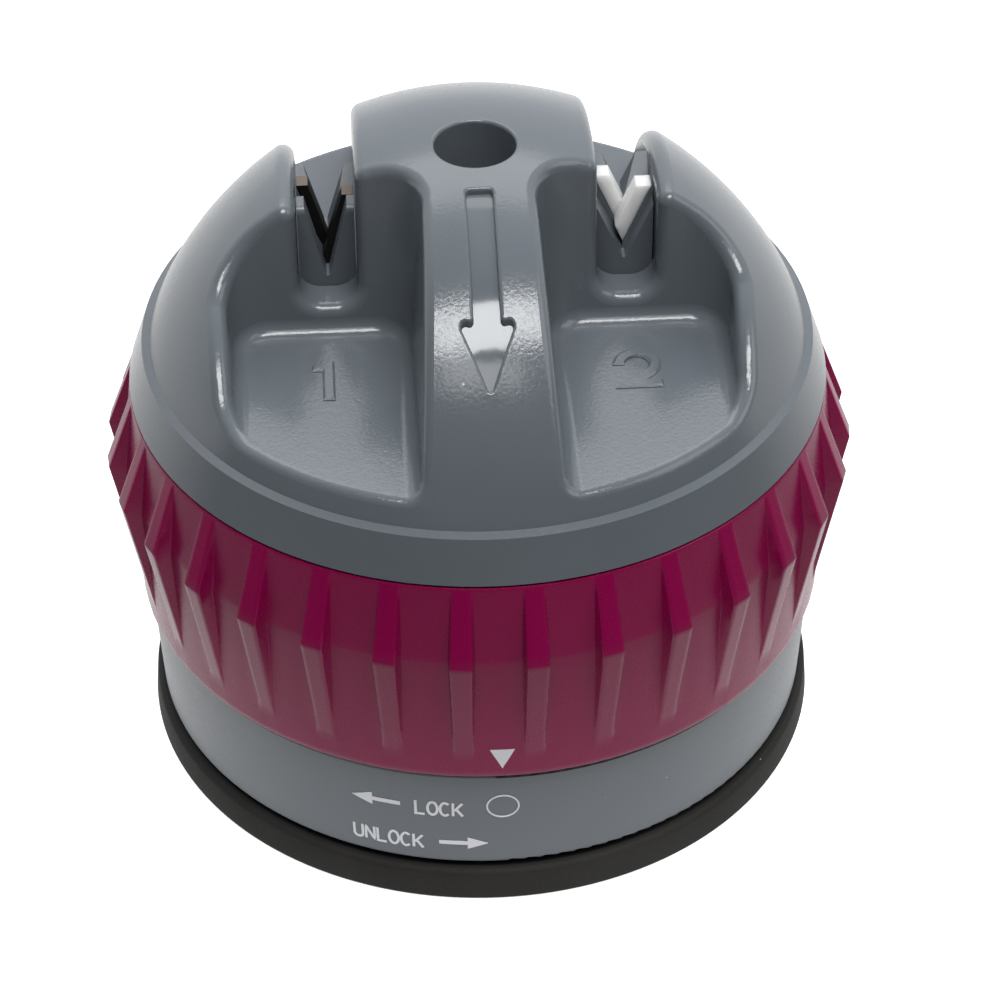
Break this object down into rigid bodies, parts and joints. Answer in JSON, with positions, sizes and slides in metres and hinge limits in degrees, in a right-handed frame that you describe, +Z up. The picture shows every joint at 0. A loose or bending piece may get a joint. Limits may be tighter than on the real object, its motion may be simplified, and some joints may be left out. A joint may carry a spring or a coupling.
{
  "type": "manual knife sharpener",
  "caption": "Palm-size dome knife sharpener with coarse and fine pull-through slots, a ribbed twist ring that works the suction foot, and a grey base.",
  "frame": {"origin": "centre of the underside, on the table under the main axis", "axes": "+Z up; -Y is the front, where the arrow points; +X is the right-hand side, with slot 2"},
  "size_m": [0.078, 0.078, 0.07],
  "materials": {
    "dome_plastic": "grey moulded plastic, fine texture, semi-matt",
    "base_plastic": "grey moulded plastic, fine texture, semi-matt",
    "cartridge_plastic": "grey moulded plastic, smooth",
    "ring_plastic": "plum moulded plastic, fine texture, semi-matt",
    "foot_rubber": "black moulded rubber",
    "carbide": "dark ground tungsten carbide",
    "ceramic": "white ground ceramic",
    "inner_plastic": "dark moulded plastic",
    "glide_plastic": "natural slippery plastic",
    "bright_steel": "turned bright steel",
    "zinc_steel": "zinc-plated steel"
  },
  "bodies": {
    "body": {"top_housing": "dome_plastic", "base_housing": "base_plastic", "coarse_cartridge": "cartridge_plastic", "fine_cartridge": "cartridge_plastic", "suction_cup": "foot_rubber", "carbide_bar_left": "carbide", "carbide_bar_right": "carbide", "ceramic_bar_left": "ceramic", "ceramic_bar_right": "ceramic", "chassis": "inner_plastic", "lower_glide_washer": "glide_plastic", "upper_glide_washer": "glide_plastic", "coarse_clamp": "inner_plastic", "fine_clamp": "inner_plastic", "return_spring": "bright_steel", "chassis_screws": "zinc_steel", "clamp_screws": "zinc_steel", "centre_screw": "zinc_steel", "centre_washer": "zinc_steel"},
    "ring": {"twist_ring": "ring_plastic", "cam_carrier": "inner_plastic", "carrier_screws": "zinc_steel"},
    "lifter": {"lift_stud": "bright_steel", "cup_washer": "zinc_steel", "cup_nut": "zinc_steel", "lift_pin": "bright_steel"}
  },
  "joints": [
    {"name": "ring_twist", "type": "hinge", "parent": "body", "child": "ring", "pos_m": [0, 0, 0.03], "axis": [0, 0, -1], "range_deg": [0, 75]},
    {"name": "suction_lift", "type": "slide", "parent": "body", "child": "lifter", "axis": [0, 0, 1], "range_m": [0, 0.004], "stiffness_N_per_m": 250, "springref_m": -0.002, "deforming": ["return_spring", "suction_cup"]}
  ],
  "couplings": [
    {"joint": "suction_lift", "follows": "ring_twist", "m_per_rad": 0.0030557}
  ]
}
